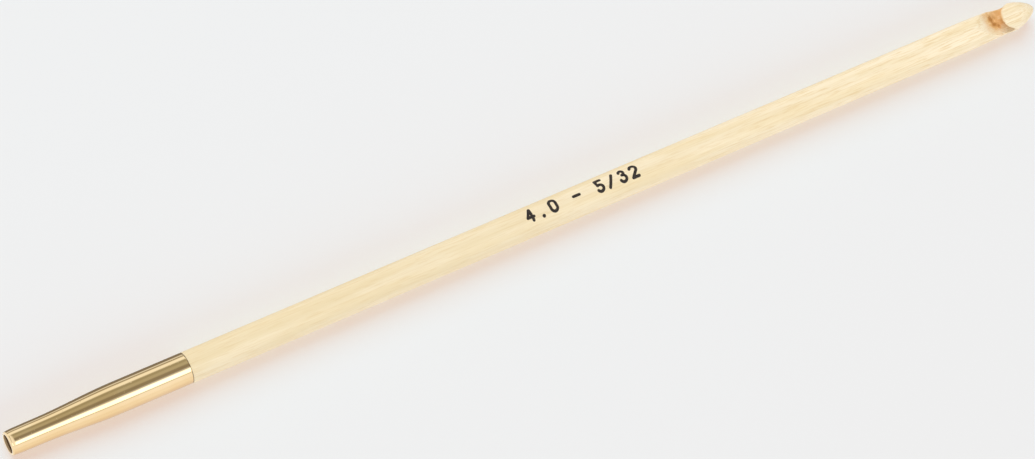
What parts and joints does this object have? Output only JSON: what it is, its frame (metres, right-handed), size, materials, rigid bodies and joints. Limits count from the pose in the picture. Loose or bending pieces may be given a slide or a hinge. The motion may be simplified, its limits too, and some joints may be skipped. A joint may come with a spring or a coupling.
{
  "type": "crochet hook",
  "caption": "Screw-on bamboo crochet hook with a tapered gold-coloured metal ferrule that takes a cable or a handle.",
  "frame": {"origin": "centre of the ferrule's round mouth", "axes": "+X along the shaft from the ferrule's mouth to the hook's tip, +Z out of the throat"},
  "size_m": [0.15, 0.004, 0.004],
  "materials": {
    "bamboo": "sanded and waxed bamboo, scorched in the throat",
    "gold_plate": "polished brass with pale gold plating",
    "epoxy": "cured amber adhesive",
    "ink": "matt black printing ink"
  },
  "bodies": {
    "root": {"hook_shaft": "bamboo", "ferrule": "gold_plate", "adhesive_bond": "epoxy", "size_mark": "ink"}
  },
  "joints": []
}
